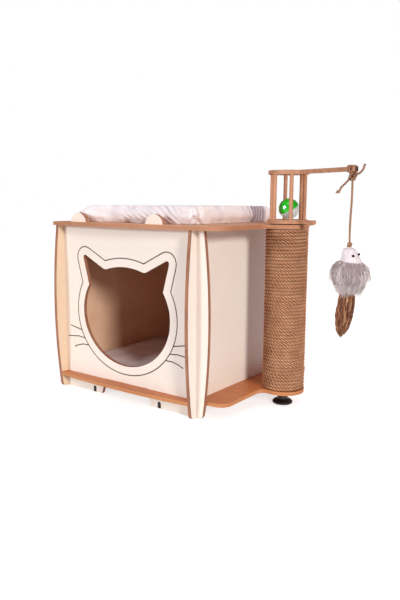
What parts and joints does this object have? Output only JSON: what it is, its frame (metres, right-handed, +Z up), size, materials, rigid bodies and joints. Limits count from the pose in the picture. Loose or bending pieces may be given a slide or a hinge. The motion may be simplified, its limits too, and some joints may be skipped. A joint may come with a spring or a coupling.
{
  "type": "cat scratcher house",
  "caption": "Cat scratcher house with a cat-head doorway, cushions, a rope-wound post on a levelling foot and a turning cage whose arm carries a hanging toy.",
  "frame": {"origin": "on the floor, midway between the left fins and the arm's end, and midway from front to back", "axes": "+X from the cabin towards the scratching post, +Y from the doorway to the back, +Z up"},
  "size_m": [0.6989, 0.436, 0.4949],
  "materials": {
    "cream_laminate": "satin",
    "beech_board": "satin",
    "card_tube": "matte",
    "sisal_rope": "matte",
    "jute_string": "matte",
    "black_plastic": "satin",
    "black_rubber": "matte",
    "zinc_steel": "satin",
    "green_plastic": "gloss",
    "clear_plastic": "gloss",
    "white_plush": "matte",
    "grey_fur": "matte",
    "brown_fur": "matte",
    "black_bead": "gloss",
    "pale_cloth": "matte"
  },
  "bodies": {
    "house": {"front_panel": "cream_laminate", "back_panel": "cream_laminate", "left_panel": "cream_laminate", "right_panel": "cream_laminate", "base_board": "beech_board", "top_board": "beech_board", "post_plug_bottom": "beech_board", "post_plug_top": "beech_board", "glide_front_left": "black_rubber", "glide_front_right": "black_rubber", "glide_back_left": "black_rubber", "glide_back_right": "black_rubber", "post_tube": "card_tube", "post_rope": "sisal_rope", "insert_nut_bottom": "zinc_steel", "insert_nut_top": "zinc_steel", "cage_bolt": "zinc_steel", "cage_washer": "black_plastic", "top_cushion": "pale_cloth", "floor_cushion": "pale_cloth"},
    "cage": {"cage_floor": "beech_board", "cage_roof_arm": "beech_board", "cage_dowel_1": "beech_board", "cage_dowel_2": "beech_board", "cage_dowel_3": "beech_board", "cage_dowel_4": "beech_board", "cage_dowel_5": "beech_board", "cage_dowel_6": "beech_board", "toy_loop": "jute_string", "toy_end_upper": "jute_string", "toy_end_lower": "jute_string"},
    "ball": {"ball_green_half": "green_plastic", "ball_clear_half": "clear_plastic", "ball_bell": "zinc_steel"},
    "lure_knot": {"toy_knot": "jute_string"},
    "lure": {"toy_string": "jute_string", "toy_string_knot": "jute_string", "toy_head": "white_plush", "toy_body": "grey_fur", "toy_tail": "brown_fur", "toy_eye_left": "black_bead", "toy_eye_right": "black_bead"},
    "levelling_foot": {"foot_pad": "black_plastic", "foot_stem": "zinc_steel"}
  },
  "joints": [
    {"name": "cage_swivel", "type": "hinge", "parent": "house", "child": "cage", "pos_m": [0.16211, 0, 0.382], "axis": [0, 0, 1], "range_deg": [-62, 108]},
    {"name": "ball_spin", "type": "hinge", "parent": "cage", "child": "ball", "pos_m": [0.1648, -0.00001, 0.4116], "axis": [0.3746, 0.9272, 0], "continuous": true},
    {"name": "lure_sway", "type": "hinge", "parent": "cage", "child": "lure_knot", "pos_m": [0.32529, -0.06593, 0.4704], "axis": [0.9272, -0.3746, 0], "range_deg": [-10, 10]},
    {"name": "lure_swing", "type": "hinge", "parent": "lure_knot", "child": "lure", "pos_m": [0.32529, -0.06593, 0.4704], "axis": [0.3746, 0.9272, 0], "range_deg": [-16, 16]},
    {"name": "foot_height", "type": "slide", "parent": "house", "child": "levelling_foot", "axis": [0, 0, 1], "range_m": [-0.012, 0.007]}
  ]
}
